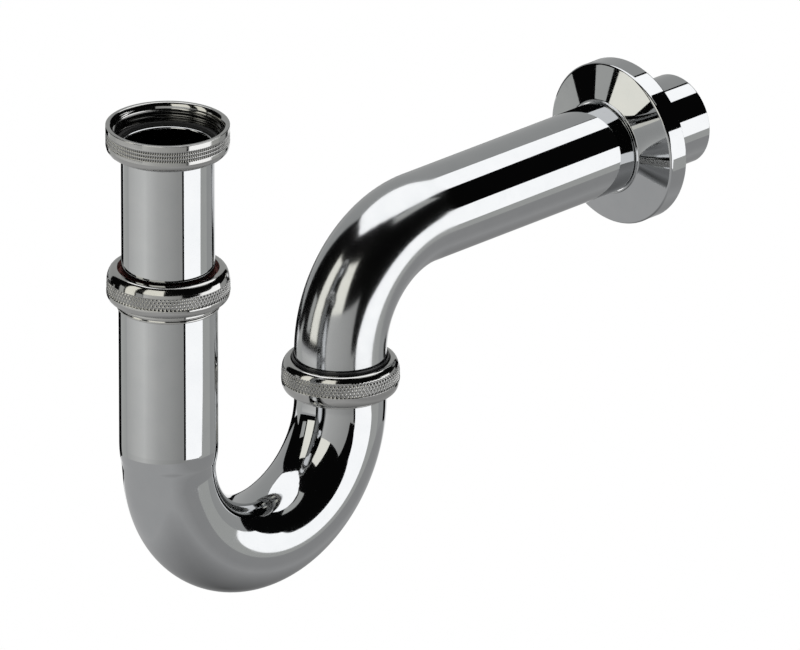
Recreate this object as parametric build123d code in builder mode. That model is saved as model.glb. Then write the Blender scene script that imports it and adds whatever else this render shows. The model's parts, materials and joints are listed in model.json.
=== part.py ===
"""A chromed brass sink trap: inlet pipe, U bend and outlet pipe joined by knurled nuts, with a wall rosette.

Millimetres. +Z is up and +X runs from the inlet to the wall. The origin is the centre of the inlet's sealing face,
where the basin waste lands on the gasket. The inlet leg stands on the Z axis and the whole trap lies on the XZ plane.
Threads are plain cylinders: a male thread at its root, a female one at its crests.
"""

import math
import os

from build123d import *

os.makedirs("parts", exist_ok=True)

# Tube
pipe_diameter = 40.0
tube_wall = 1.0

# Clearances
slide_gap = 0.3
thread_gap = 0.3
seat_gap = 0.1
braze_gap = 0.05

# Layout of the three runs
leg_spacing = 104.0
outlet_drop = 79.5
outlet_bend_radius = 48.0
wall_reach = 280.0
stub_length = 32.0

# Inlet pipe and its union nut
inlet_pipe_length = 109.2
flange_thickness = 1.2
lip_round = 0.9
flat_gasket_thickness = 1.6
flat_gasket_lip = 0.6
union_nut_rise = 7.5
union_nut_wall = 4.1
union_nut_shoulder = 2.6
union_nut_bowl_drop = 4.0
union_nut_bowl_width = 4.6
mouth_depth = 2.9
mouth_width = 2.4
relief_depth = 0.8

# Adjusting joint, where the inlet pipe slides in the socket
adjusting_drop = 58.0
adjusting_nut_wall = 4.1
adjusting_nut_height = 14.0
adjusting_nut_dome = 7.0
adjusting_nut_foot = 3.3
adjusting_nut_hole_gap = 1.8
adjusting_seal_thickness = 3.0
slip_ring_thickness = 1.4
collar_wall = 0.8
inlet_collar_show = 3.8

# Shape shared by both slip nuts
nut_shoulder = 2.8
nut_dome_width = 3.2
nut_foot_width = 2.4

# Joint on the rising leg
straight_above_nut = 2.8
outlet_nut_wall = 3.2
outlet_nut_height = 14.2
outlet_nut_dome = 6.5
outlet_nut_foot = 5.0
outlet_nut_hole_gap = 1.4
outlet_sleeve_wall = 0.8
outlet_sleeve_rise = 4.1
outlet_gasket_thickness = 1.9
outlet_collar_show = 1.2

# U bend
leg_straight = 2.8
socket_taper = 5.0
bend_swell = 1.1
bend_stations = 12

# Free end of the outlet pipe
end_chamfer = 0.5
insertion_mark_width = 1.0
insertion_mark_depth = 0.3
insertion_mark_offset = 0.6

# Wall rosette
rosette_diameter = 72.6
rosette_sheet = 1.0
rosette_rim_depth = 9.0
rosette_face_rise = 6.0
rosette_edge_round = 0.8
rosette_bore_gap = 0.3
rosette_lip = 0.6

# Radii that follow from the pipe
pipe_radius = pipe_diameter / 2
bore_radius = pipe_radius - tube_wall
sliding_radius = pipe_radius + slide_gap
socket_radius = sliding_radius + tube_wall
collar_radius = socket_radius + collar_wall
thread_radius = collar_radius + thread_gap

# Heights of the inlet joint, from the sealing face down
flange_top = -flat_gasket_thickness
flange_bottom = flange_top - flange_thickness
union_shoulder_top = flange_bottom - seat_gap
union_nut_bottom = union_shoulder_top - union_nut_shoulder
inlet_pipe_bottom = flange_bottom - inlet_pipe_length

# Heights of the adjusting joint
adjusting_nut_top = -adjusting_drop
adjusting_ring_top = adjusting_nut_top - nut_shoulder - seat_gap
adjusting_ring_bottom = adjusting_ring_top - slip_ring_thickness
adjusting_seal_top = adjusting_ring_bottom - seat_gap
socket_top = adjusting_seal_top - adjusting_seal_thickness
inlet_collar_bottom = adjusting_nut_top - adjusting_nut_height - inlet_collar_show

# Heights of the joint on the rising leg
outlet_axis_z = -outlet_drop
outlet_bend_start = outlet_axis_z - outlet_bend_radius
outlet_nut_top = outlet_bend_start - straight_above_nut
outlet_ring_top = outlet_nut_top - nut_shoulder - seat_gap
outlet_ring_bottom = outlet_ring_top - slip_ring_thickness
outlet_flange_top = outlet_ring_bottom - seat_gap
outlet_flange_bottom = outlet_flange_top - flange_thickness
outlet_gasket_top = outlet_flange_bottom - seat_gap
rising_leg_top = outlet_gasket_top - outlet_gasket_thickness
outlet_collar_bottom = outlet_nut_top - outlet_nut_height - outlet_collar_show

# Heights and stations of the U bend
bend_centre_z = outlet_collar_bottom - leg_straight
bend_radius = leg_spacing / 2
outlet_end_x = wall_reach + stub_length
rosette_rim_x = wall_reach - rosette_rim_depth
rosette_hub_x = rosette_rim_x - rosette_face_rise

# Section planes and turning axes of the three straight runs
inlet_plane = Plane.XZ
inlet_axis = Axis.Z
rising_plane = Plane(origin=(leg_spacing, 0, 0), x_dir=(1, 0, 0), z_dir=(0, -1, 0))
rising_axis = Axis((leg_spacing, 0, 0), (0, 0, 1))
outlet_plane = Plane(origin=(0, 0, outlet_axis_z), x_dir=(1, 0, 0), z_dir=(0, -1, 0))
outlet_axis = Axis((0, 0, outlet_axis_z), (1, 0, 0))


def flat_ring(plane, axis, inner_radius, outer_radius, bottom, top):
    """A ring of rectangular section, turned about one of the upright axes."""
    with BuildPart() as ring:
        with BuildSketch(plane):
            with Locations((inner_radius, bottom)):
                Rectangle(outer_radius - inner_radius, top - bottom, align=(Align.MIN, Align.MIN))
        revolve(axis=axis)
    return ring


def slip_nut(plane, axis, top, height, wall, hole_gap, dome_height, foot_height):
    """A domed nut: a hole round the pipe, a shoulder under the dome and a plain bore for its thread below."""
    outer_radius = thread_radius + wall
    hole_radius = pipe_radius + hole_gap
    bottom = top - height
    foot_radius = outer_radius - nut_foot_width
    with BuildPart() as nut:
        with BuildSketch(plane):
            with BuildLine():
                Polyline(
                    (outer_radius - nut_dome_width, top),
                    (hole_radius, top),
                    (hole_radius, top - nut_shoulder),
                    (thread_radius, top - nut_shoulder),
                    (thread_radius, bottom),
                    (foot_radius, bottom),
                )
                EllipticalCenterArc(
                    (foot_radius, bottom + foot_height),
                    nut_foot_width,
                    foot_height,
                    start_angle=-90,
                    arc_size=90,
                )
                Line((outer_radius, bottom + foot_height), (outer_radius, top - dome_height))
                EllipticalCenterArc(
                    (outer_radius - nut_dome_width, top - dome_height),
                    nut_dome_width,
                    dome_height,
                    start_angle=0,
                    arc_size=90,
                )
            make_face()
        revolve(axis=axis)
    return nut


def bend_section(turn, radius):
    """Plane and radius of the U bend's round section after turning by turn degrees from the inlet leg.

    The tube swells towards the lowest point, on the inside of the bend only, so its outer outline stays an arc.
    """
    angle = math.radians(turn)
    swell = bend_swell * math.sin(angle) ** 2
    reach = bend_radius - swell
    centre = (bend_radius - reach * math.cos(angle), 0, bend_centre_z - reach * math.sin(angle))
    heading = (math.sin(angle), 0, -math.cos(angle))
    return Plane(origin=centre, x_dir=(0, 1, 0), z_dir=heading), radius + swell


# Inlet union nut: straight knurled wall, bowl-shaped underside, lead-in mouth and thread relief
union_nut_radius = thread_radius + union_nut_wall
with BuildPart() as inlet_union_nut:
    with BuildSketch(inlet_plane):
        with BuildLine():
            Polyline(
                (union_nut_radius - union_nut_bowl_width, union_nut_bottom),
                (sliding_radius, union_nut_bottom),
                (sliding_radius, union_shoulder_top),
                (thread_radius + relief_depth, union_shoulder_top),
                (thread_radius + relief_depth, -relief_depth),
                (thread_radius, 0),
                (thread_radius, union_nut_rise - mouth_depth),
                (thread_radius + mouth_width, union_nut_rise),
                (union_nut_radius, union_nut_rise),
                (union_nut_radius, union_nut_bottom + union_nut_bowl_drop),
            )
            EllipticalCenterArc(
                (union_nut_radius - union_nut_bowl_width, union_nut_bottom + union_nut_bowl_drop),
                union_nut_bowl_width,
                union_nut_bowl_drop,
                start_angle=-90,
                arc_size=90,
            )
        make_face()
    revolve(axis=inlet_axis)
inlet_union_nut.part.label = "inlet_union_nut"

# Flat gasket on the inlet pipe's flange, its hole wide enough to show the pipe's lip
inlet_flat_gasket = flat_ring(
    inlet_plane, inlet_axis, pipe_radius + flat_gasket_lip, collar_radius, flange_top, 0
)
inlet_flat_gasket.part.label = "inlet_flat_gasket"

# Inlet pipe: straight tube, flanged outwards at the top over a rounded lip
with BuildPart() as inlet_pipe:
    with BuildSketch(inlet_plane):
        with BuildLine():
            Polyline(
                (bore_radius, flange_top - lip_round),
                (bore_radius, inlet_pipe_bottom),
                (pipe_radius, inlet_pipe_bottom),
                (pipe_radius, flange_bottom),
                (collar_radius, flange_bottom),
                (collar_radius, flange_top),
                (bore_radius + lip_round, flange_top),
            )
            CenterArc((bore_radius + lip_round, flange_top - lip_round), lip_round, 90, 90)
        make_face()
    revolve(axis=inlet_axis)
inlet_pipe.part.label = "inlet_pipe"

# Adjusting joint: nut, fibre slip ring and rubber seal round the inlet pipe, threaded collar on the socket
adjusting_nut = slip_nut(
    inlet_plane,
    inlet_axis,
    adjusting_nut_top,
    adjusting_nut_height,
    adjusting_nut_wall,
    adjusting_nut_hole_gap,
    adjusting_nut_dome,
    adjusting_nut_foot,
)
adjusting_nut.part.label = "adjusting_nut"

adjusting_slip_ring = flat_ring(
    inlet_plane, inlet_axis, sliding_radius, collar_radius, adjusting_ring_bottom, adjusting_ring_top
)
adjusting_slip_ring.part.label = "adjusting_slip_ring"

adjusting_seal = flat_ring(
    inlet_plane, inlet_axis, sliding_radius, collar_radius, socket_top, adjusting_seal_top
)
adjusting_seal.part.label = "adjusting_seal"

inlet_thread_collar = flat_ring(
    inlet_plane, inlet_axis, socket_radius + braze_gap, collar_radius, inlet_collar_bottom, socket_top
)
inlet_thread_collar.part.label = "inlet_thread_collar"

# U bend: socket with a taper at its foot, the bend itself, and the short rising leg
with BuildPart() as u_bend:
    for wall_radius, wall_mode in ((pipe_radius, Mode.ADD), (bore_radius, Mode.SUBTRACT)):
        for station in range(bend_stations + 1):
            section_plane, section_radius = bend_section(180 * station / bend_stations, wall_radius)
            with BuildSketch(section_plane):
                Circle(section_radius)
        loft(mode=wall_mode)
    with BuildSketch(inlet_plane):
        with BuildLine():
            Polyline(
                (bore_radius, bend_centre_z),
                (pipe_radius, bend_centre_z),
                (socket_radius, bend_centre_z + socket_taper),
                (socket_radius, socket_top),
                (sliding_radius, socket_top),
                (sliding_radius, bend_centre_z + socket_taper),
                close=True,
            )
        make_face()
    revolve(axis=inlet_axis)
    with BuildSketch(rising_plane):
        with Locations((bore_radius, bend_centre_z)):
            Rectangle(tube_wall, rising_leg_top - bend_centre_z, align=(Align.MIN, Align.MIN))
    revolve(axis=rising_axis)
u_bend.part.label = "u_bend"

# Joint on the rising leg: threaded collar, gasket under the outlet pipe's flange, stepped slip ring and nut
outlet_thread_collar = flat_ring(
    rising_plane, rising_axis, pipe_radius + braze_gap, collar_radius, outlet_collar_bottom, rising_leg_top
)
outlet_thread_collar.part.label = "outlet_thread_collar"

outlet_gasket = flat_ring(
    rising_plane, rising_axis, bore_radius + slide_gap, collar_radius, rising_leg_top, outlet_gasket_top
)
outlet_gasket.part.label = "outlet_gasket"

with BuildPart() as outlet_slip_ring:
    with BuildSketch(rising_plane):
        with BuildLine():
            Polyline(
                (sliding_radius, outlet_ring_bottom),
                (collar_radius, outlet_ring_bottom),
                (collar_radius, outlet_ring_top),
                (sliding_radius + outlet_sleeve_wall, outlet_ring_top),
                (sliding_radius + outlet_sleeve_wall, outlet_ring_top + outlet_sleeve_rise),
                (sliding_radius, outlet_ring_top + outlet_sleeve_rise),
                close=True,
            )
        make_face()
    revolve(axis=rising_axis)
outlet_slip_ring.part.label = "outlet_slip_ring"

outlet_nut = slip_nut(
    rising_plane,
    rising_axis,
    outlet_nut_top,
    outlet_nut_height,
    outlet_nut_wall,
    outlet_nut_hole_gap,
    outlet_nut_dome,
    outlet_nut_foot,
)
outlet_nut.part.label = "outlet_nut"

# Outlet pipe: up from its flange, round the bend and level to the wall, with a scribed insertion mark
with BuildPart() as outlet_pipe:
    with BuildLine(inlet_plane) as outlet_route:
        rise = Line((leg_spacing, outlet_flange_bottom), (leg_spacing, outlet_bend_start))
        turn_to_wall = JernArc(rise @ 1, rise % 1, outlet_bend_radius, -90)
        Line(turn_to_wall @ 1, (outlet_end_x, outlet_axis_z))
    with BuildSketch(Plane(origin=outlet_route.line @ 0, z_dir=outlet_route.line % 0)):
        Circle(pipe_radius)
        Circle(bore_radius, mode=Mode.SUBTRACT)
    sweep(path=outlet_route.line)
    end_edges = outlet_pipe.edges().filter_by(GeomType.CIRCLE).group_by(Axis.X)[-1]
    chamfer(end_edges.sort_by(SortBy.RADIUS)[-1], end_chamfer)
    with BuildSketch(rising_plane):
        with Locations((bore_radius, outlet_flange_bottom)):
            Rectangle(collar_radius - bore_radius, flange_thickness, align=(Align.MIN, Align.MIN))
    revolve(axis=rising_axis)
    with BuildSketch(outlet_plane):
        with Locations((wall_reach + insertion_mark_offset, pipe_radius - insertion_mark_depth)):
            Rectangle(insertion_mark_width, tube_wall, align=(Align.MIN, Align.MIN))
    revolve(axis=outlet_axis, mode=Mode.SUBTRACT)
outlet_pipe.part.label = "outlet_pipe"

# Wall rosette: thin shell with a flared neck, a sloping face and a rim that meets the wall
rosette_radius = rosette_diameter / 2
rosette_bore = pipe_radius + rosette_bore_gap
with BuildPart() as wall_rosette:
    with BuildSketch(outlet_plane) as rosette_section:
        with BuildLine():
            Polyline(
                (wall_reach, rosette_radius),
                (rosette_rim_x, rosette_radius),
                (rosette_hub_x + rosette_sheet, rosette_bore + rosette_lip),
                (rosette_hub_x, rosette_bore + rosette_lip),
                (rosette_hub_x, rosette_bore),
                (rosette_hub_x + 2 * rosette_sheet, rosette_bore),
                (rosette_rim_x + rosette_sheet, rosette_radius - rosette_sheet),
                (wall_reach, rosette_radius - rosette_sheet),
                close=True,
            )
        make_face()
        corners = rosette_section.vertices()
        fillet(corners.sort_by_distance((rosette_rim_x, rosette_radius))[0], rosette_edge_round)
    revolve(axis=outlet_axis)
wall_rosette.part.label = "wall_rosette"

for piece in (
    inlet_union_nut,
    inlet_flat_gasket,
    inlet_pipe,
    adjusting_nut,
    adjusting_slip_ring,
    adjusting_seal,
    inlet_thread_collar,
    u_bend,
    outlet_thread_collar,
    outlet_gasket,
    outlet_slip_ring,
    outlet_nut,
    outlet_pipe,
    wall_rosette,
):
    export_step(piece.part, f"parts/{piece.part.label}.step")
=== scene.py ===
"""Looks of a chromed sink trap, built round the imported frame.

Every piece is a turned or swept skin worked out with numpy: a closed outline of distance along a path
and radius, carried round that path. Metres, in the frame's own axes: +Z is up and +X runs to the wall.
"""

import json
import math

import bpy
import numpy as np
from bpy.props import FloatProperty, FloatVectorProperty, PointerProperty
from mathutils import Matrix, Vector


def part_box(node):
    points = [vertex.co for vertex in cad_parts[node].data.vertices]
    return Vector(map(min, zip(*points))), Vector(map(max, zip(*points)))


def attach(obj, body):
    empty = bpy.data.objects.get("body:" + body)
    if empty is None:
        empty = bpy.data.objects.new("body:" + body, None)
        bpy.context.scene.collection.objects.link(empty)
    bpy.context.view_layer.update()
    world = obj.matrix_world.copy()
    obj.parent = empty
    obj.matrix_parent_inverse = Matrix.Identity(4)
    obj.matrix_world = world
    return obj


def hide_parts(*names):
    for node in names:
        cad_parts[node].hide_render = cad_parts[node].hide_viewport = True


bl_info = {
    "name": "Chromed Sink Trap",
    "version": (1, 0, 0),
    "blender": (4, 5, 0),
    "location": "View3D > Sidebar > Sink Trap",
    "description": "Tubes, knurled nuts, seals and wall rosette of a sink trap, with a studio stage",
    "category": "Object",
}

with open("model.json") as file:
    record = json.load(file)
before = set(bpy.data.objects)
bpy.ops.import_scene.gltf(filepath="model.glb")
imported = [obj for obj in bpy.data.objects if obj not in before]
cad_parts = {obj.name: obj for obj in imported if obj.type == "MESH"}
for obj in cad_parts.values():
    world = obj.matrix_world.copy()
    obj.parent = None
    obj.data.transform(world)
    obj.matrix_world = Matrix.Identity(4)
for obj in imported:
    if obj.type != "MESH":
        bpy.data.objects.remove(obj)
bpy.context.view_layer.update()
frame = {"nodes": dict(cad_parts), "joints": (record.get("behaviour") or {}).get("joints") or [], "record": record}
node_boxes = {name: [np.array(corner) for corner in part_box(name)] for name in frame["nodes"]}
mounts = {mount["name"]: mount for mount in frame["record"]["mounts"]}
joints = {joint["name"]: joint for joint in frame["joints"]}

mm = 0.001
upright = np.array([0.0, 0.0, 1.0])
to_wall = np.array([1.0, 0.0, 0.0])

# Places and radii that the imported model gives
pipe_radius = mounts["wall_outlet"]["dims"]["r_mm"] * mm
thread_radius = mounts["basin_inlet"]["dims"]["r_mm"] * mm
outlet_z = mounts["wall_outlet"]["pos_m"][2]
rising_x = joints["bend_swivel"]["pos_m"][0]
collar_radius = node_boxes["inlet_thread_collar"][1][1]
socket_radius = -node_boxes["u_bend"][0][0]
bend_radius = rising_x / 2
bend_z = node_boxes["u_bend"][0][2] + bend_radius + pipe_radius

# Fineness of the meshes: points once round, and how close points of an outline lie
tube_steps = 192
collar_steps = 256
rosette_steps = 256
ring_steps = 160
ring_spacing = 0.5 * mm
steps_per_dot = 5
steps_per_diamond = 8
near = 0.05 * mm


def linear(hex_colour):
    """Linear red, green and blue of an sRGB hex colour."""
    shades = np.array([int(hex_colour[place : place + 2], 16) for place in (0, 2, 4)]) / 255
    bright = ((shades + 0.055) / 1.055) ** 2.4
    return tuple(np.where(shades <= 0.04045, shades / 12.92, bright))


def low_of(node):
    """Height of a CAD node's lowest point."""
    return node_boxes[node][0][2]


def high_of(node):
    """Height of a CAD node's highest point."""
    return node_boxes[node][1][2]


def radius_of(node):
    """Largest radius of a turned CAD node, half its width across the trap."""
    return node_boxes[node][1][1]


def rounded(corners, steps=6):
    """Closed outline with eased corners.

    Each row of corners is distance, radius, and how far the easing reaches along the side before and
    the side after. A corner becomes corner + before * reach * (1 - sin t) + after * reach * (1 - cos t)
    with t from 0 to a right angle, an arc of an ellipse that meets both sides smoothly. One more point
    on each side keeps the flats flat.
    """
    rows = np.array(corners, float)
    spots = rows[:, :2]
    reaches = rows[:, 2:]
    sides = np.roll(spots, -1, axis=0) - spots
    lengths = np.linalg.norm(sides, axis=1)
    after = sides / lengths[:, None]
    before = -np.roll(after, 1, axis=0)
    spare = lengths - reaches[:, 1] - np.roll(reaches[:, 0], -1)
    margin = 0.3 * mm
    margin_after = np.minimum(margin, spare / 4)
    margin_before = np.roll(margin_after, 1)
    turn = np.linspace(0, math.pi / 2, steps)
    fall = reaches[:, :1] * (1 - np.sin(turn))
    rise = reaches[:, 1:] * (1 - np.cos(turn))
    curve = spots[:, None] + before[:, None] * fall[..., None] + after[:, None] * rise[..., None]
    lead = spots + before * (reaches[:, 0] + margin_before)[:, None]
    tail = spots + after * (reaches[:, 1] + margin_after)[:, None]
    return np.concatenate([lead[:, None], curve, tail[:, None]], axis=1).reshape(-1, 2)


def filled_in(outline, spacing):
    """The same closed outline with more points on its sides, no further apart than spacing.

    Spacing is one length for all the sides, or one for each side.
    """
    ends = np.roll(outline, -1, axis=0)
    counts = np.ceil(np.linalg.norm(ends - outline, axis=1) / spacing).astype(int)
    counts = np.maximum(counts, 1)
    share = np.concatenate([np.arange(count) / count for count in counts])[:, None]
    return np.repeat(outline, counts, axis=0) * (1 - share) + np.repeat(ends, counts, axis=0) * share


def side_middles(outline):
    """Middle of each side of a closed outline."""
    return (outline + np.roll(outline, -1, axis=0)) / 2


def tube_path(distance, start, heading, side, bend_from=math.inf, radius=1.0, turn=0.0):
    """Centres and directions of a path that runs straight, bends once towards side, and runs straight.

    Distance is measured from start along heading. Past bend_from the heading turns by distance over
    radius, up to turn. Returns the centres, the direction away from the bend's centre, and the direction
    across the bend.
    """
    angle = np.clip((distance - bend_from) / radius, 0, turn)
    before = np.minimum(distance, bend_from)
    beyond = np.maximum(distance - bend_from - radius * turn, 0)
    cosine = np.cos(angle)[:, None]
    sine = np.sin(angle)[:, None]
    ahead = heading * cosine + side * sine
    outward = heading * sine - side * cosine
    arc = radius * (heading * sine + side * (1 - cosine))
    centres = start + heading * before[:, None] + arc + ahead * beyond[:, None]
    return centres, outward, np.cross(ahead, outward)


def swept(outline, path, steps, relief=0.0):
    """Grid of points: centre + (radius + relief) * (outward * cos t + across * sin t), t once round."""
    centres, outward, across = path
    angle = np.linspace(0, 2 * math.pi, steps, endpoint=False)[None, :, None]
    spokes = outward[:, None] * np.cos(angle) + across[:, None] * np.sin(angle)
    radius = outline[:, 1][:, None] + relief
    return centres[:, None] + radius[..., None] * spokes


def turned(outline, start, heading, side, steps, relief=0.0):
    """Skin of an outline turned once round a straight axis."""
    return swept(outline, tube_path(outline[:, 0], start, heading, side), steps, relief)


def grid_object(name, points, closed, material):
    """Mesh object of four-sided faces over a grid of points, joined to itself both ways if closed."""
    rows, columns = points.shape[:2]
    index = np.arange(rows * columns).reshape(rows, columns)
    beside = np.roll(index, -1, axis=1)
    quads = np.stack([index, beside, np.roll(beside, -1, axis=0), np.roll(index, -1, axis=0)], axis=-1)
    if not closed:
        quads = quads[:-1, :-1]
    quads = quads.reshape(-1, 4)
    mesh = bpy.data.meshes.new(name)
    mesh.vertices.add(rows * columns)
    mesh.vertices.foreach_set("co", points.astype(np.float32).ravel())
    mesh.loops.add(quads.size)
    mesh.loops.foreach_set("vertex_index", quads.astype(np.int32).ravel())
    mesh.polygons.add(len(quads))
    mesh.polygons.foreach_set("loop_start", np.arange(0, quads.size, 4, dtype=np.int32))
    mesh.polygons.foreach_set("use_smooth", np.ones(len(quads), bool))
    mesh.update(calc_edges=True)
    mesh.materials.append(material)
    piece = bpy.data.objects.new(name, mesh)
    bpy.context.scene.collection.objects.link(piece)
    return piece


def fit_piece(name, points, node, body, material):
    """Makes a closed piece that stands for a CAD node and moves with its body."""
    piece = grid_object(name, points, True, material)
    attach(piece, body)
    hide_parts(node)
    return piece


def mark_points(piece, name, points, shares):
    """Keeps one number for each point of a grid, or for each of its rows, for the material to read."""
    layer = piece.data.attributes.new(name, "FLOAT", "POINT")
    values = np.broadcast_to(shares, points.shape[:2])
    layer.data.foreach_set("value", values.astype(np.float32).ravel())


def ring_outline(node, inner, ease):
    """Outline of a plain ring that fills a CAD node's height and radius."""
    low = low_of(node)
    high = high_of(node)
    outer = radius_of(node)
    return rounded(
        [
            (low, inner, ease, ease),
            (low, outer, ease, ease),
            (high, outer, ease, ease),
            (high, inner, ease, ease),
        ]
    )


def tent(wave):
    """Triangle wave of period 1 that is 0 at whole numbers and 1 half-way between them."""
    return 1 - np.abs(2 * (wave - np.floor(wave)) - 1)


def within(values, low, high, ease):
    """1 between low and high, falling to 0 over ease outside them."""
    rise = np.clip((values - low) / ease + 1, 0, 1)
    fall = np.clip((high - values) / ease + 1, 0, 1)
    return rise * fall


def diamond_knurl(heights, angle, low, high, round_count, rise, depth):
    """Pyramids cut by two sets of crossing grooves.

    Inside the band the relief is depth * (lower of the two triangle waves - 1).
    """
    run_out = 0.25 * mm
    wave = angle * round_count / (2 * math.pi)
    climb = (heights - low) / rise
    pyramid = np.minimum(tent(wave + climb), tent(wave - climb))
    return depth * (pyramid - 1) * within(heights, low, high, run_out)


def screw_thread(heights, angle, low, high, pitch, depth):
    """Right-hand helical groove with thin crests.

    The relief is depth * |sin(pi * (height over pitch less the share of a turn))|.
    """
    run_out = 0.3 * mm
    wave = heights / pitch - angle / (2 * math.pi)
    return depth * np.abs(np.sin(math.pi * wave)) * within(heights, low, high, run_out)


def add_node(tree, kind, settings, inputs):
    """Adds a node, sets its own settings, and sets or links its inputs."""
    node = tree.nodes.new(kind)
    for name, value in settings.items():
        setattr(node, name, value)
    for name, value in inputs.items():
        if isinstance(value, bpy.types.NodeSocket):
            tree.links.new(value, node.inputs[name])
        else:
            node.inputs[name].default_value = value
    return node


def new_material(name):
    """An empty node material."""
    material = bpy.data.materials.new(name)
    material.use_nodes = True
    material.node_tree.nodes.clear()
    return material


def finish_material(material, surface):
    """Links a shader to the material's output."""
    add_node(material.node_tree, "ShaderNodeOutputMaterial", {}, {"Surface": surface.outputs[0]})
    return material


def per_metre(size):
    """Noise scale that gives features of a real size."""
    return 1 / size


def chrome_plate(name, pale, deep, roughness_low, roughness_high, ripple, shade):
    """Chromium electroplated over polished brass.

    A mirror with a faint cool tint: the polishing wheel leaves a slow ripple some 25 mm long that bends
    reflections, and water and fingers leave patches about 9 mm across that are a little duller and
    darker. Points marked dull are rougher and their colour is multiplied by shade: stretched brass in
    the bends is only rougher, while the darkening in the nuts' bores, knurl grooves and dots is painted shade.
    """
    material = bpy.data.materials.get(name)
    if material:
        return material
    patch_size = 9 * mm
    ripple_length = 25 * mm
    dull_roughness = 0.1
    material = new_material(name)
    tree = material.node_tree
    place = add_node(tree, "ShaderNodeTexCoord", {}, {}).outputs["Object"]
    patches = add_node(
        tree,
        "ShaderNodeTexNoise",
        {},
        {"Vector": place, "Scale": per_metre(patch_size), "Detail": 4.0, "Roughness": 0.6},
    )
    tint = add_node(
        tree,
        "ShaderNodeMix",
        {"data_type": "RGBA"},
        {0: patches.outputs["Fac"], 6: (*pale, 1), 7: (*deep, 1)},
    )
    dulling = add_node(
        tree,
        "ShaderNodeMapRange",
        {},
        {
            "Value": patches.outputs["Fac"],
            "From Min": 0.35,
            "From Max": 0.7,
            "To Min": roughness_low,
            "To Max": roughness_high,
        },
    )
    # The dull mark roughens the chrome and multiplies its colour by shade, a painted shade in the nuts' bores and
    # grooves.
    dull = add_node(tree, "ShaderNodeAttribute", {"attribute_name": "dull"}, {})
    shaded = add_node(
        tree,
        "ShaderNodeMix",
        {"data_type": "RGBA", "blend_type": "MULTIPLY"},
        {0: dull.outputs["Fac"], 6: tint.outputs[2], 7: (shade, shade, shade, 1)},
    )
    softened = add_node(
        tree,
        "ShaderNodeMath",
        {"operation": "MULTIPLY_ADD"},
        {0: dull.outputs["Fac"], 1: dull_roughness, 2: dulling.outputs["Result"]},
    )
    waves = add_node(
        tree,
        "ShaderNodeTexNoise",
        {},
        {"Vector": place, "Scale": per_metre(ripple_length), "Detail": 1.0, "Roughness": 0.4},
    )
    bump = add_node(
        tree,
        "ShaderNodeBump",
        {},
        {"Strength": 1.0, "Distance": ripple, "Height": waves.outputs["Fac"]},
    )
    shader = add_node(
        tree,
        "ShaderNodeBsdfPrincipled",
        {},
        {
            "Base Color": shaded.outputs[2],
            "Metallic": 1.0,
            "Roughness": softened.outputs["Value"],
            "Normal": bump.outputs["Normal"],
        },
    )
    return finish_material(material, shader)


def grained(name, pale, deep, grain, roughness, bump_depth, stretch):
    """A pressed or moulded material: two close colours in grains of a real size, with a fine bump."""
    material = bpy.data.materials.get(name)
    if material:
        return material
    material = new_material(name)
    tree = material.node_tree
    place = add_node(tree, "ShaderNodeTexCoord", {}, {}).outputs["Object"]
    stretched = add_node(tree, "ShaderNodeMapping", {}, {"Vector": place, "Scale": stretch})
    grains = add_node(
        tree,
        "ShaderNodeTexNoise",
        {},
        {
            "Vector": stretched.outputs["Vector"],
            "Scale": per_metre(grain),
            "Detail": 5.0,
            "Roughness": 0.65,
        },
    )
    tint = add_node(
        tree,
        "ShaderNodeMix",
        {"data_type": "RGBA"},
        {0: grains.outputs["Fac"], 6: (*pale, 1), 7: (*deep, 1)},
    )
    bump = add_node(
        tree,
        "ShaderNodeBump",
        {},
        {"Strength": 1.0, "Distance": bump_depth, "Height": grains.outputs["Fac"]},
    )
    shader = add_node(
        tree,
        "ShaderNodeBsdfPrincipled",
        {},
        {
            "Base Color": tint.outputs[2],
            "Roughness": roughness,
            "Normal": bump.outputs["Normal"],
        },
    )
    return finish_material(material, shader)


def tube_chrome(finish):
    """Bright chrome of the drawn tubes and the rosette."""
    return chrome_plate(
        "chrome_plate_on_tube",
        finish.tube_pale,
        finish.tube_deep,
        roughness_low=0.02,
        roughness_high=0.05,
        ripple=0.01 * mm,
        shade=1.0,
    )


def nut_chrome(finish):
    """Chrome of the turned nuts and collars, a little warmer and duller."""
    return chrome_plate(
        "chrome_plate_on_turned_brass",
        finish.nut_pale,
        finish.nut_deep,
        roughness_low=0.07,
        roughness_high=0.12,
        ripple=0.01 * mm,
        # Painted shade: points marked in the bores and grooves are darkened to three tenths of the chrome's
        # colour.
        shade=0.3,
    )


def seal_rubber(finish):
    """Moulded nitrile rubber: matt, near black, with a fine grain from the mould."""
    return grained(
        "moulded_rubber",
        finish.rubber_pale,
        finish.rubber_deep,
        grain=1.2 * mm,
        roughness=0.62,
        bump_depth=0.02 * mm,
        stretch=(1, 1, 1),
    )


def ring_fibre(finish):
    """Vulcanised fibre: dull red-brown pressed paper, its fibres lying flat."""
    return grained(
        "vulcanised_fibre",
        finish.fibre_pale,
        finish.fibre_deep,
        grain=1.5 * mm,
        roughness=0.8,
        bump_depth=0.03 * mm,
        stretch=(1, 1, 4),
    )


def ring_plastic(finish):
    """Moulded polypropylene: black and fairly glossy, with faint flow marks."""
    return grained(
        "moulded_polypropylene",
        finish.plastic_pale,
        finish.plastic_deep,
        grain=4 * mm,
        roughness=0.22,
        bump_depth=0.005 * mm,
        stretch=(1, 1, 1),
    )


def length_setting(name, description, metres):
    """A length that is kept on the scene."""
    return FloatProperty(name=name, description=description, default=metres, unit="LENGTH")


def colour_setting(name, description, hex_colour):
    """A colour that is kept on the scene."""
    return FloatVectorProperty(
        name=name, description=description, default=linear(hex_colour), subtype="COLOR"
    )


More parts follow.
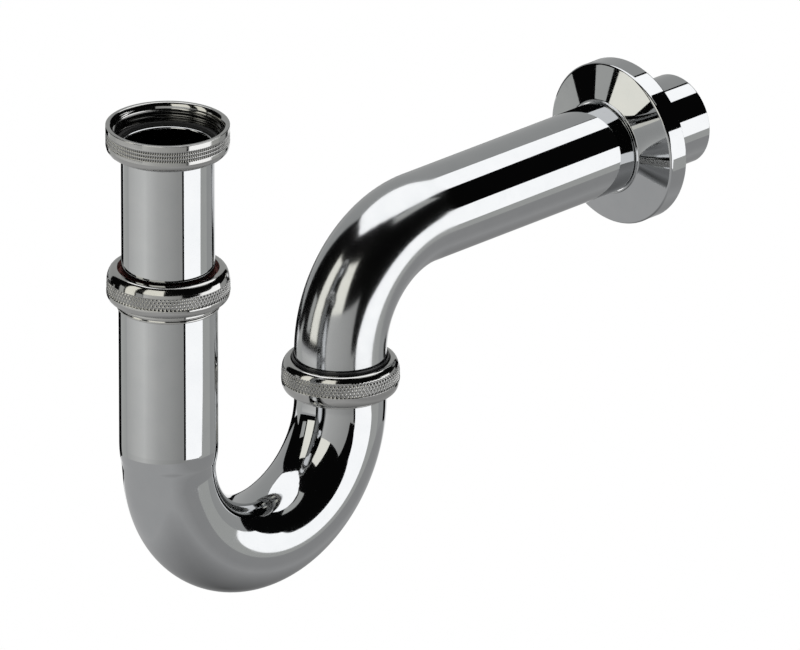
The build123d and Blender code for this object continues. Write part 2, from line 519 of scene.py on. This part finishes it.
class TrapSizes(bpy.types.PropertyGroup):
    """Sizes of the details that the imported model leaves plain."""

    tube_wall: length_setting("Tube wall", "Thickness of the drawn tube", 1.0 * mm)
    slide_gap: length_setting("Sliding gap", "Gap round the pipe in socket and rings", 0.3 * mm)
    bend_swell: length_setting("Bend swell", "Extra radius at the foot of the bend", 1.1 * mm)
    flange: length_setting("Flange thickness", "Thickness of the pipe flanges", 1.2 * mm)
    thread_pitch: length_setting("Thread pitch", "Rise of the threads in one turn", 2.309 * mm)
    thread_depth: length_setting("Thread depth", "Depth of the threads inside the nuts", 1.0 * mm)
    knurl_pitch: length_setting("Knurl pitch", "Spacing of the slip nuts' diamonds", 1.72 * mm)
    knurl_rise: length_setting("Knurl rise", "Height of one diamond on the slip nuts", 2.86 * mm)
    knurl_depth: length_setting("Knurl depth", "Depth of the diamond grooves", 0.6 * mm)
    dot_pitch: length_setting("Dot pitch", "Spacing of the dots round the union nut", 1.05 * mm)
    dot_depth: length_setting("Dot depth", "Depth of the union nut's dots", 0.85 * mm)


class TrapFinish(bpy.types.PropertyGroup):
    """Colours of the finishes."""

    tube_pale: colour_setting("Tube chrome", "Clean chrome", "C1C2C3")
    tube_deep: colour_setting("Worn tube chrome", "Chrome under water marks", "B8BABC")
    nut_pale: colour_setting("Nut chrome", "Clean chrome of the nuts", "BFBFBE")
    nut_deep: colour_setting("Worn nut chrome", "Chrome in handled places", "B1B1AF")
    rubber_pale: colour_setting("Rubber", "Raised grain of the rubber", "2A2A2B")
    rubber_deep: colour_setting("Rubber, deep", "Hollows of the rubber", "161617")
    fibre_pale: colour_setting("Fibre", "Raised fibres of the slip ring", "7A3428")
    fibre_deep: colour_setting("Fibre, deep", "Hollows of the slip ring", "521E17")
    plastic_pale: colour_setting("Plastic", "Flow marks of the plastic ring", "1C1C1E")
    plastic_deep: colour_setting("Plastic, deep", "Body of the plastic ring", "111113")


class TrapStage(bpy.types.PropertyGroup):
    """Camera and studio."""

    azimuth: FloatProperty(
        name="Azimuth",
        description="Camera's turn round the trap",
        default=math.radians(-45.38),
        subtype="ANGLE",
    )
    elevation: FloatProperty(
        name="Elevation",
        description="Camera's height angle",
        default=math.radians(22.47),
        subtype="ANGLE",
    )
    distance: length_setting("Distance", "From the camera to its aim", 10.0)
    view_width: length_setting("View width", "Width of the picture at the aim", 344.5 * mm)
    aim: FloatVectorProperty(
        name="Aim",
        description="Point at the picture's centre",
        default=(0.14081, 0.00042, -0.1265),
        subtype="XYZ",
    )
    floor_drop: length_setting("Floor drop", "Depth of the floor under the sealing face", 1.6)


class TRAP_OT_inlet_pipe(bpy.types.Operator):
    """Makes the straight inlet pipe with its flange and rounded lip"""

    bl_idname = "trap.inlet_pipe"
    bl_label = "Inlet pipe"

    def execute(self, context):
        sizes = context.scene.trap_sizes
        low = low_of("inlet_pipe")
        high = high_of("inlet_pipe")
        bore = pipe_radius - sizes.tube_wall
        edge = 0.2 * mm
        lip = 0.9 * mm
        spacing = 2 * mm
        outline = rounded(
            [
                (low, bore, edge, edge),
                (low, pipe_radius, edge, edge),
                (high - sizes.flange, pipe_radius, edge, edge),
                (high - sizes.flange, collar_radius, edge, edge),
                (high, collar_radius, edge, edge),
                (high, bore, lip, lip),
            ]
        )
        points = turned(filled_in(outline, spacing), 0 * upright, upright, to_wall, tube_steps)
        finish = context.scene.trap_finish
        fit_piece("inlet_pipe_tube", points, "inlet_pipe", "inlet", tube_chrome(finish))
        return {"FINISHED"}


class TRAP_OT_u_bend(bpy.types.Operator):
    """Makes the U bend: socket, taper, bend that swells towards its foot, and rising leg"""

    bl_idname = "trap.u_bend"
    bl_label = "U bend"

    def execute(self, context):
        sizes = context.scene.trap_sizes
        bore = pipe_radius - sizes.tube_wall
        sliding = pipe_radius + sizes.slide_gap
        top = -high_of("u_bend")
        bend_from = -bend_z
        taper = 5 * mm
        taper_from = bend_from - taper
        leg = low_of("outlet_gasket") - bend_z
        end = bend_from + math.pi * bend_radius + leg
        edge = 0.2 * mm
        soft = 2.4 * mm
        spacing = 1.5 * mm
        dulling = 0.3
        corners = rounded(
            [
                (top, sliding, edge, edge),
                (top, socket_radius, edge, edge),
                (taper_from, socket_radius, 2 * soft, soft),
                (bend_from, pipe_radius, soft, 2 * soft),
                (end, pipe_radius, edge, edge),
                (end, bore, edge, edge),
                (bend_from, bore, soft, soft),
                (taper_from, sliding, soft, soft),
            ]
        )
        outline = filled_in(corners, spacing)
        centres, outward, across = tube_path(
            outline[:, 0], 0 * upright, -upright, to_wall, bend_from, bend_radius, math.pi
        )
        turn = np.clip((outline[:, 0] - bend_from) / bend_radius, 0, math.pi)
        swell = (sizes.bend_swell * np.sin(turn) ** 2)[:, None]
        points = swept(outline, (centres - outward * swell, outward, across), tube_steps, swell)
        finish = context.scene.trap_finish
        piece = fit_piece("u_bend_tube", points, "u_bend", "bend", tube_chrome(finish))
        mark_points(piece, "dull", points, dulling * np.sin(turn)[:, None])
        return {"FINISHED"}


class TRAP_OT_outlet_pipe(bpy.types.Operator):
    """Makes the outlet pipe: flange, bend to the wall, scribed insertion mark and chamfered end"""

    bl_idname = "trap.outlet_pipe"
    bl_label = "Outlet pipe"

    def execute(self, context):
        sizes = context.scene.trap_sizes
        bore = pipe_radius - sizes.tube_wall
        low = low_of("outlet_pipe")
        end_x = node_boxes["outlet_pipe"][1][0]
        wall_x = node_boxes["wall_rosette"][1][0]
        radius = 48 * mm
        bend_from = outlet_z - radius
        level_from = bend_from + radius * math.pi / 2 - rising_x - radius
        mark_gap = 0.6 * mm
        mark_width = 1.0 * mm
        mark_depth = 0.3 * mm
        mark_from = level_from + wall_x + mark_gap
        mark_to = mark_from + mark_width
        mark_foot = pipe_radius - mark_depth
        end = level_from + end_x
        edge = 0.2 * mm
        fine = 0.08 * mm
        chamfer = 0.5 * mm
        spacing = 1.5 * mm
        fade = 8 * mm
        corners = rounded(
            [
                (low, bore, edge, edge),
                (low, collar_radius, edge, edge),
                (low + sizes.flange, collar_radius, edge, edge),
                (low + sizes.flange, pipe_radius, edge, edge),
                (mark_from, pipe_radius, fine, fine),
                (mark_from, mark_foot, fine, fine),
                (mark_to, mark_foot, fine, fine),
                (mark_to, pipe_radius, fine, fine),
                (end - chamfer, pipe_radius, fine, fine),
                (end, pipe_radius - chamfer, fine, fine),
                (end, bore, fine, fine),
            ]
        )
        outline = filled_in(corners, spacing)
        path = tube_path(
            outline[:, 0], rising_x * to_wall, upright, to_wall, bend_from, radius, math.pi / 2
        )
        points = swept(outline, path, tube_steps)
        finish = context.scene.trap_finish
        piece = fit_piece(
            "outlet_pipe_tube", points, "outlet_pipe", "wall_pipe", tube_chrome(finish)
        )
        bent = within(outline[:, 0], bend_from, bend_from + radius * math.pi / 2, fade)
        mark_points(piece, "dull", points, bent[:, None])
        return {"FINISHED"}


class TRAP_OT_union_nut(bpy.types.Operator):
    """Makes the inlet union nut: dotted rows, bowl-shaped underside, lead-in mouth and screw thread"""

    bl_idname = "trap.union_nut"
    bl_label = "Union nut"

    def execute(self, context):
        sizes = context.scene.trap_sizes
        low = low_of("inlet_union_nut")
        high = high_of("inlet_union_nut")
        outer = radius_of("inlet_union_nut")
        hole = pipe_radius + sizes.slide_gap
        web = 2.6 * mm
        relief_depth = 0.8 * mm
        mouth_depth = 2.9 * mm
        mouth_width = 2.4 * mm
        bowl_under = 4.6 * mm
        bowl_side = 4.0 * mm
        row_heights = np.array([4.1, 2.45, 0.8]) * mm
        row_width = 0.42 * mm
        thread_run_out = 0.6 * mm
        shoulder = low + web
        relief = thread_radius + relief_depth
        mouth = high - mouth_depth
        edge = 0.3 * mm
        corners = rounded(
            [
                (low, hole, edge, edge),
                (low, outer, bowl_under, bowl_side),
                (high, outer, edge, edge),
                (high, thread_radius + mouth_width, edge, edge),
                (mouth, thread_radius, edge, edge),
                (0, thread_radius, edge, edge),
                (-relief_depth, relief, edge, edge),
                (shoulder, relief, edge, edge),
                (shoulder, hole, edge, edge),
            ],
            steps=5,
        )
        middles = side_middles(corners)
        wall_spacing = 0.22 * mm
        thread_spacing = 0.35 * mm
        plain_spacing = 1.4 * mm
        spacing = np.where(middles[:, 1] > outer - near, wall_spacing, plain_spacing)
        spacing[np.abs(middles[:, 1] - thread_radius) < near] = thread_spacing
        outline = filled_in(corners, spacing)
        round_count = round(2 * math.pi * outer / sizes.dot_pitch)
        steps = steps_per_dot * round_count
        angle = np.linspace(0, 2 * math.pi, steps, endpoint=False)[None, :]
        heights = outline[:, :1]
        on_wall = outline[:, 1:] > outer - near
        in_bore = outline[:, 1:] < relief + near
        row_share = np.exp(-(((heights - row_heights) / row_width) ** 2)).sum(axis=1, keepdims=True)
        dots = on_wall * row_share * (0.5 + 0.5 * np.cos(round_count * angle))
        thread_top = mouth + thread_run_out
        groove = screw_thread(heights, angle, 0, thread_top, sizes.thread_pitch, sizes.thread_depth)
        points = turned(
            outline, 0 * upright, upright, to_wall, steps, in_bore * groove - sizes.dot_depth * dots
        )
        chrome = nut_chrome(context.scene.trap_finish)
        piece = fit_piece(
            "union_nut_turned", points, "inlet_union_nut", "union_nut", chrome
        )
        # Painted shade: the threaded bore and the bottoms of the dots are marked to be darkened.
        inside = (heights > shoulder) & (heights < mouth) & (outline[:, 1:] < relief + edge)
        mark_points(piece, "dull", points, np.clip(inside + dots, 0, 1))
        return {"FINISHED"}


class TRAP_OT_slip_nuts(bpy.types.Operator):
    """Makes the two domed slip nuts with diamond knurling outside and a screw thread inside"""

    bl_idname = "trap.slip_nuts"
    bl_label = "Slip nuts"

    def execute(self, context):
        sizes = context.scene.trap_sizes
        material = nut_chrome(context.scene.trap_finish)
        crown = 2.8 * mm
        edge = 0.25 * mm
        hole_edge = 0.3 * mm
        foot_under = 2.4 * mm
        dome_top = 3.2 * mm
        band = 0.6 * mm
        knurl_margin = 1 * mm
        knurl_spacing = 0.18 * mm
        plain_spacing = 0.7 * mm
        thread_start = 0.6 * mm
        thread_stop = 0.8 * mm
        # Share of painted shade at the bottom of the knurl's grooves
        groove_shade_share = 0.5
        for node, start, hole_gap, dome, foot, knurl_from, knurl_to in (
            ("adjusting_nut", 0 * to_wall, 1.8 * mm, 7.0 * mm, 3.3 * mm, 4.3 * mm, 9.2 * mm),
            ("outlet_nut", rising_x * to_wall, 1.4 * mm, 6.5 * mm, 5.0 * mm, 5.4 * mm, 11.0 * mm),
        ):
            low = low_of(node)
            high = high_of(node)
            outer = radius_of(node)
            hole = pipe_radius + hole_gap
            shoulder = high - crown
            corners = rounded(
                [
                    (low, thread_radius, edge, edge),
                    (low, outer, foot_under, foot),
                    (high, outer, dome, dome_top),
                    (high, hole, hole_edge, hole_edge),
                    (shoulder, hole, edge, edge),
                    (shoulder, thread_radius, edge, edge),
                ],
                steps=9,
            )
            middles = side_middles(corners)
            knurled = middles[:, 0] > low + knurl_from - knurl_margin
            detailed = knurled & (middles[:, 1] > outer - band)
            outline = filled_in(corners, np.where(detailed, knurl_spacing, plain_spacing))
            round_count = round(2 * math.pi * outer / sizes.knurl_pitch)
            steps = steps_per_diamond * round_count
            angle = np.linspace(0, 2 * math.pi, steps, endpoint=False)[None, :]
            heights = outline[:, :1]
            on_wall = outline[:, 1:] > outer - band
            in_bore = outline[:, 1:] < thread_radius + near
            knurl = on_wall * diamond_knurl(
                heights,
                angle,
                low + knurl_from,
                low + knurl_to,
                round_count,
                sizes.knurl_rise,
                sizes.knurl_depth,
            )
            groove = screw_thread(
                heights,
                angle,
                low + thread_start,
                shoulder - thread_stop,
                sizes.thread_pitch,
                sizes.thread_depth,
            )
            points = turned(outline, start, upright, to_wall, steps, knurl + in_bore * groove)
            piece = fit_piece(f"{node}_turned", points, node, node, material)
            # Painted shade: the threaded bore and the knurl's grooves are marked to be darkened.
            inside = in_bore & (heights > low + edge) & (heights < shoulder)
            groove_shade = groove_shade_share * np.clip(-knurl / sizes.knurl_depth, 0, 1) ** 2
            mark_points(piece, "dull", points, np.clip(inside + groove_shade, 0, 1))
        return {"FINISHED"}


class TRAP_OT_thread_collars(bpy.types.Operator):
    """Makes the two brazed collars: screw thread under the nut and a plain bead below it"""

    bl_idname = "trap.thread_collars"
    bl_label = "Thread collars"

    def execute(self, context):
        sizes = context.scene.trap_sizes
        material = nut_chrome(context.scene.trap_finish)
        braze_gap = 0.05 * mm
        edge = 0.15 * mm
        ease = 0.35 * mm
        spacing = 0.2 * mm
        thread_start = 0.4 * mm
        thread_stop = 0.5 * mm
        thread_depth = 0.45 * mm
        line_from = 1.2 * mm
        line_to = 1.6 * mm
        line_ease = 0.2 * mm
        for node, start, inner, bead, groove_depth in (
            ("inlet_thread_collar", 0 * to_wall, socket_radius + braze_gap, 3.8 * mm, 0.3 * mm),
            ("outlet_thread_collar", rising_x * to_wall, pipe_radius + braze_gap, 1.2 * mm, 0.0),
        ):
            low = low_of(node)
            high = high_of(node)
            corners = rounded(
                [
                    (low, inner, edge, edge),
                    (low, collar_radius, ease, ease),
                    (high, collar_radius, edge, edge),
                    (high, inner, edge, edge),
                ]
            )
            outline = filled_in(corners, spacing)
            angle = np.linspace(0, 2 * math.pi, collar_steps, endpoint=False)[None, :]
            heights = outline[:, :1]
            outside = outline[:, 1:] > collar_radius - near
            thread_low = low + bead + thread_start
            thread_high = high - thread_stop
            thread = screw_thread(
                heights, angle, thread_low, thread_high, sizes.thread_pitch, -thread_depth
            )
            line = -groove_depth * within(heights, low + line_from, low + line_to, line_ease)
            points = turned(outline, start, upright, to_wall, collar_steps, outside * (thread + line))
            fit_piece(f"{node}_turned", points, node, "bend", material)
        return {"FINISHED"}


class TRAP_OT_seals(bpy.types.Operator):
    """Makes the gaskets, the rubber seal and the slip rings between pipes and nuts"""

    bl_idname = "trap.seals"
    bl_label = "Seals and slip rings"

    def execute(self, context):
        sizes = context.scene.trap_sizes
        finish = context.scene.trap_finish
        sliding = pipe_radius + sizes.slide_gap
        at_inlet = 0 * to_wall
        at_rise = rising_x * to_wall
        rubber = seal_rubber(finish)
        fibre = ring_fibre(finish)
        gasket_inner = pipe_radius + 0.6 * mm
        outlet_inner = pipe_radius - 0.7 * mm
        crisp = 0.1 * mm
        seal_ease = 0.6 * mm
        gasket_ease = 0.3 * mm
        for name, node, body, inner, ease, start, slot, material in (
            (
                "flat_gasket_cut",
                "inlet_flat_gasket",
                "inlet",
                gasket_inner,
                crisp,
                at_inlet,
                "black_rubber",
                rubber,
            ),
            (
                "adjusting_ring_cut",
                "adjusting_slip_ring",
                "adjusting_ring",
                sliding,
                crisp,
                at_inlet,
                "red_fibre",
                fibre,
            ),
            (
                "adjusting_seal_moulded",
                "adjusting_seal",
                "bend",
                sliding,
                seal_ease,
                at_inlet,
                "black_rubber",
                rubber,
            ),
            (
                "outlet_gasket_moulded",
                "outlet_gasket",
                "bend",
                outlet_inner,
                gasket_ease,
                at_rise,
                "black_rubber",
                rubber,
            ),
        ):
            outline = filled_in(ring_outline(node, inner, ease), ring_spacing)
            points = turned(outline, start, upright, to_wall, ring_steps)
            fit_piece(name, points, node, body, material)
        low = low_of("outlet_slip_ring")
        high = high_of("outlet_slip_ring")
        flange = 1.4 * mm
        sleeve_wall = 0.8 * mm
        step = low + flange
        sleeve = sliding + sleeve_wall
        edge = 0.2 * mm
        outline = rounded(
            [
                (low, sliding, edge, edge),
                (low, collar_radius, edge, edge),
                (step, collar_radius, edge, edge),
                (step, sleeve, edge, edge),
                (high, sleeve, edge, edge),
                (high, sliding, edge, edge),
            ]
        )
        points = turned(filled_in(outline, ring_spacing), at_rise, upright, to_wall, ring_steps)
        plastic = ring_plastic(finish)
        fit_piece(
            "outlet_ring_moulded", points, "outlet_slip_ring", "outlet_ring", plastic
        )
        return {"FINISHED"}


class TRAP_OT_rosette(bpy.types.Operator):
    """Makes the spun wall rosette: neck lip, sloping face and straight rim"""

    bl_idname = "trap.rosette"
    bl_label = "Wall rosette"

    def execute(self, context):
        sheet = context.scene.trap_sizes.tube_wall
        hub_x = node_boxes["wall_rosette"][0][0]
        wall_x = node_boxes["wall_rosette"][1][0]
        outer = radius_of("wall_rosette")
        rim = 9.0 * mm
        bore_gap = 0.3 * mm
        lip_height = 0.6 * mm
        rim_x = wall_x - rim
        bore = pipe_radius + bore_gap
        lip = bore + lip_height
        fine = 0.15 * mm
        ease = 0.8 * mm
        neck_ease = 0.4 * mm
        inner_ease = 0.3 * mm
        spacing = 0.8 * mm
        corners = rounded(
            [
                (hub_x, bore, fine, fine),
                (hub_x, lip, fine, fine),
                (hub_x + sheet, lip, neck_ease, neck_ease),
                (rim_x, outer, ease, ease),
                (wall_x, outer, fine, fine),
                (wall_x, outer - sheet, fine, fine),
                (rim_x + sheet, outer - sheet, inner_ease, inner_ease),
                (hub_x + 2 * sheet, bore, fine, fine),
            ]
        )
        outline = filled_in(corners, spacing)
        points = turned(outline, outlet_z * upright, to_wall, upright, rosette_steps)
        finish = context.scene.trap_finish
        fit_piece("rosette_spun", points, "wall_rosette", "rosette", tube_chrome(finish))
        return {"FINISHED"}


def card_material(name, colour, strength):
    """A studio card or light panel that shows one even brightness. The light panels stand for lamps; the boards'
    glow is painted light in place of boards lit by lamps.
    """
    material = new_material(name)
    glow = add_node(
        material.node_tree, "ShaderNodeEmission", {}, {"Color": (*colour, 1), "Strength": strength}
    )
    return finish_material(material, glow)


def shaded_board_material(name):
    """A board that glows with painted light, its brightness changing along it as its own tone attribute says."""
    off_white = (1.0, 1.0, 0.975, 1)
    material = new_material(name)
    tree = material.node_tree
    tone = add_node(tree, "ShaderNodeAttribute", {"attribute_name": "tone"}, {})
    glow = add_node(
        tree, "ShaderNodeEmission", {}, {"Color": off_white, "Strength": tone.outputs["Fac"]}
    )
    return finish_material(material, glow)


# Level directions, about as the camera sees them
away_from_camera = (0.713, 0.701, 0.0)
right_of_camera = (0.712, -0.702, 0.0)

# The floor's paint with its painted shadow and shade: places in metres, tones as shares of white
pool_place = (0.74, 0.53)
pool_turn = math.radians(45.4)
pool_stretch = (1, 0.42, 1)
pool_reach = 2.7
shadow_pool_tone = 0.13
floor_tone = 0.545
dim_from = 0.2
dim_to = 1.8
right_side_shade = 0.14
white_from = 2.6
white_to = 3.1


def floor_material(name, floor_drop):
    """Matt floor with a painted shadow: a dark oval pool behind the trap, paler further out, and white far behind.

    To the right of the camera's view it is a little darker, a painted shade.
    """
    material = new_material(name)
    tree = material.node_tree
    place = add_node(tree, "ShaderNodeTexCoord", {}, {}).outputs["Object"]
    behind = add_node(
        tree,
        "ShaderNodeVectorMath",
        {"operation": "DOT_PRODUCT"},
        {0: place, 1: away_from_camera},
    )
    rightward = add_node(
        tree,
        "ShaderNodeVectorMath",
        {"operation": "DOT_PRODUCT"},
        {0: place, 1: right_of_camera},
    )
    oval = add_node(
        tree,
        "ShaderNodeMapping",
        {"vector_type": "TEXTURE"},
        {
            "Vector": place,
            "Location": (*pool_place, -floor_drop),
            "Rotation": (0, 0, pool_turn),
            "Scale": pool_stretch,
        },
    )
    spread = add_node(
        tree, "ShaderNodeVectorMath", {"operation": "LENGTH"}, {0: oval.outputs["Vector"]}
    )
    # Painted shadow: the floor is darkest in the middle of the oval pool and paler further out.
    tone = add_node(
        tree,
        "ShaderNodeMapRange",
        {},
        {
            "Value": spread.outputs["Value"],
            "From Min": 0.0,
            "From Max": pool_reach,
            "To Min": shadow_pool_tone,
            "To Max": floor_tone,
        },
    )
    # Painted shade: the floor darkens towards the right of the camera's view.
    shade = add_node(
        tree,
        "ShaderNodeMapRange",
        {},
        {
            "Value": rightward.outputs["Value"],
            "From Min": dim_from,
            "From Max": dim_to,
            "To Min": 0.0,
            "To Max": right_side_shade,
        },
    )
    dimmed = add_node(
        tree,
        "ShaderNodeMath",
        {"operation": "SUBTRACT"},
        {0: tone.outputs["Result"], 1: shade.outputs["Result"]},
    )
    white = add_node(
        tree,
        "ShaderNodeMapRange",
        {"interpolation_type": "SMOOTHSTEP"},
        {"Value": behind.outputs["Value"], "From Min": white_from, "From Max": white_to},
    )
    paint = add_node(
        tree,
        "ShaderNodeMix",
        {"data_type": "RGBA"},
        {0: white.outputs["Result"], 6: dimmed.outputs["Value"], 7: (1, 1, 1, 1)},
    )
    shader = add_node(tree, "ShaderNodeBsdfDiffuse", {}, {"Color": paint.outputs[2]})
    return finish_material(material, shader)


# Points along and up a studio card
card_columns = 193
card_rows = 25


def studio_card(centre, radius, azimuths, lows, highs):
    """Grid on a sphere round the trap: centre + radius * (cos e cos a, cos e sin a, sin e).

    The azimuth a runs through the listed degrees. At each a the elevation e runs from the low edge to the
    high edge, both drawn straight between the listed degrees.
    """
    turn = np.linspace(azimuths[0], azimuths[-1], card_columns)
    low = np.interp(turn, azimuths, lows)
    high = np.interp(turn, azimuths, highs)
    share = np.linspace(0, 1, card_rows)[:, None]
    a = np.radians(turn)[None, :]
    e = np.radians(low + (high - low) * share)
    rays = np.stack([np.cos(e) * np.cos(a), np.cos(e) * np.sin(a), np.sin(e)], axis=-1)
    return centre + radius * rays


def show_in_reflections(card):
    """Keeps a studio card out of the picture except in reflections."""
    card.visible_camera = False
    card.visible_diffuse = False
    card.visible_shadow = False


class TRAP_OT_stage(bpy.types.Operator):
    """Makes the floor, the light panels, the boards and flags round the trap, the world and the camera"""

    bl_idname = "trap.stage"
    bl_label = "Stage"

    def execute(self, context):
        settings = context.scene.trap_stage
        scene = context.scene
        scene.view_settings.view_transform = "Standard"

        world = bpy.data.worlds.new("white_studio")
        world.use_nodes = True
        backdrop = world.node_tree.nodes["Background"]
        backdrop.inputs["Color"].default_value = (1, 1, 1, 1)
        backdrop.inputs["Strength"].default_value = 1.0
        scene.world = world

        floor_ends = np.array([-15.0, 15.0])
        across, along = np.meshgrid(floor_ends, floor_ends)
        plane = np.stack([across, along, np.full_like(across, -settings.floor_drop)], axis=-1)
        paint = floor_material("pale_floor_paint", settings.floor_drop)
        floor = grid_object("floor", plane, False, paint)

        centre = np.array(settings.aim)
        light = card_material("light_panel", (1, 1, 1), 1.8)
        # The boards and the scrim glow at a fixed brightness: painted light in place of boards lit by the studio's
        # lamps.
        cream = card_material("cream_board", linear("FFFDF2"), 1.35)
        grey = card_material("grey_board", linear("C6C7C4"), 1.0)
        dim = card_material("dim_grey_board", linear("B4B5B4"), 1.0)
        black = card_material("black_cloth", linear("0A0A0A"), 1.0)
        canopy_turns = (0, 15, 30, 90, 105, 120, 150, 180, 225, 270, 300, 330, 345, 360)
        canopy_edge = (43, 43.3, 47.5, 48, 56, 62, 66, 76, 80, 76, 66, 50, 43, 43)
        for name, distance, azimuths, lows, highs, material in (
            ("curtain", 6.0, (0, 360), (-16, -16), (89, 89), black),
            ("canopy", 2.0, canopy_turns, canopy_edge, (90,) * len(canopy_turns), light),
            ("scrim", 2.1, (275, 325), (60, 42), (72, 53), grey),
            (
                "side_panel",
                2.0,
                (260.5, 268, 294, 300, 307, 308.5, 313, 333),
                (-24.1, -24.3, -25.0, -24.4, -23.0, -20.5, -16.5, -5),
                (-12, 0, 6.5, 7, 8.5, 9.5, 14, 9),
                light,
            ),
            ("panel_edge", 2.0, (256, 260.5), (-24, -24), (-17, -17), black),
            ("low_board", 2.03, (296, 307, 313, 333), (-26,) * 4, (-20, -18, -14, -4), grey),
            ("front_cream_board", 2.1, (178, 214), (13, 13), (48, 48), cream),
            ("panel_flag", 2.05, (248, 268), (-16, -16), (10, 10), black),
            ("wall_board", 2.1, (332, 358), (-26, -26), (3, 3), dim),
            ("right_flag", 1.9, (358, 375), (-26, -26), (-5, -5), black),
            ("back_board", 2.1, (20, 95), (-10, -10), (47, 47), dim),
            ("left_flag", 1.9, (52, 87), (-26, -26), (-14, -14), black),
            ("rear_board", 2.1, (88, 99, 113), (-26, -26, -26), (-20, -15, -4), grey),
            ("rear_strip", 2.1, (128, 139), (-6, -6), (14, 14), grey),
            ("back_cream_board", 2.1, (142.5, 162.5), (-8, -8), (46, 46), cream),
            ("back_grey_board", 2.1, (165, 178), (-17, -17), (10, 10), dim),
        ):
            points = studio_card(centre, distance, azimuths, lows, highs)
            card = grid_object(name, points, False, material)
            show_in_reflections(card)

        # Painted light on the front board: its glow changes along it and is a little darker towards its foot.
        board_turns = (116, 140, 168, 178, 179, 200, 224, 246, 247, 268)
        board_tones = (0.66, 0.78, 0.9, 0.8, 0.8, 0.64, 0.55, 0.46, 0.46, 0.44)
        board_tops = (-17, -17, -17, -17, 13, 13, 13, 13, -16, -16)
        board_feet = (-26,) * len(board_turns)
        board_distance = 2.1
        dim_heights = (-23, -20)
        dim_shares = (0.88, 1.0)
        points = studio_card(centre, board_distance, board_turns, board_feet, board_tops)
        board = grid_object("front_board", points, False, shaded_board_material("shaded_board"))
        turns = np.linspace(board_turns[0], board_turns[-1], card_columns)
        heights = np.degrees(np.arcsin((points - centre)[..., 2] / board_distance))
        along_board = np.interp(turns, board_turns, board_tones)
        mark_points(board, "tone", points, along_board * np.interp(heights, dim_heights, dim_shares))
        show_in_reflections(board)

        lens = bpy.data.cameras.new("photo_camera")
        lens.sensor_width = 36.0
        lens.lens = lens.sensor_width * settings.distance / settings.view_width
        lens.clip_end = 100.0
        camera = bpy.data.objects.new("photo_camera", lens)
        a = settings.azimuth
        e = settings.elevation
        back = Vector((math.sin(a) * math.cos(e), -math.cos(a) * math.cos(e), math.sin(e)))
        camera.location = Vector(settings.aim) + back * settings.distance
        camera.rotation_euler = (-back).to_track_quat("-Z", "Y").to_euler()
        scene.collection.objects.link(camera)
        scene.camera = camera
        return {"FINISHED"}


class TRAP_PT_sidebar(bpy.types.Panel):
    """Lists the trap's steps in the sidebar"""

    bl_idname = "TRAP_PT_sidebar"
    bl_label = "Sink Trap"
    bl_space_type = "VIEW_3D"
    bl_region_type = "UI"
    bl_category = "Sink Trap"

    def draw(self, context):
        for step in step_operators:
            self.layout.operator(step.bl_idname)


step_operators = (
    TRAP_OT_inlet_pipe,
    TRAP_OT_u_bend,
    TRAP_OT_outlet_pipe,
    TRAP_OT_union_nut,
    TRAP_OT_slip_nuts,
    TRAP_OT_thread_collars,
    TRAP_OT_seals,
    TRAP_OT_rosette,
    TRAP_OT_stage,
)
classes = (TrapSizes, TrapFinish, TrapStage, *step_operators, TRAP_PT_sidebar)


def register():
    """Registers the classes and hangs the settings on the scene."""
    for each in classes:
        bpy.utils.register_class(each)
    bpy.types.Scene.trap_sizes = PointerProperty(type=TrapSizes)
    bpy.types.Scene.trap_finish = PointerProperty(type=TrapFinish)
    bpy.types.Scene.trap_stage = PointerProperty(type=TrapStage)


def unregister():
    """Takes the settings and the classes away again."""
    del bpy.types.Scene.trap_stage
    del bpy.types.Scene.trap_finish
    del bpy.types.Scene.trap_sizes
    for each in reversed(classes):
        bpy.utils.unregister_class(each)


def main():
    """Builds every piece and the stage."""
    register()
    bpy.ops.trap.inlet_pipe()
    bpy.ops.trap.u_bend()
    bpy.ops.trap.outlet_pipe()
    bpy.ops.trap.union_nut()
    bpy.ops.trap.slip_nuts()
    bpy.ops.trap.thread_collars()
    bpy.ops.trap.seals()
    bpy.ops.trap.rosette()
    bpy.ops.trap.stage()


if __name__ == "__main__":
    main()
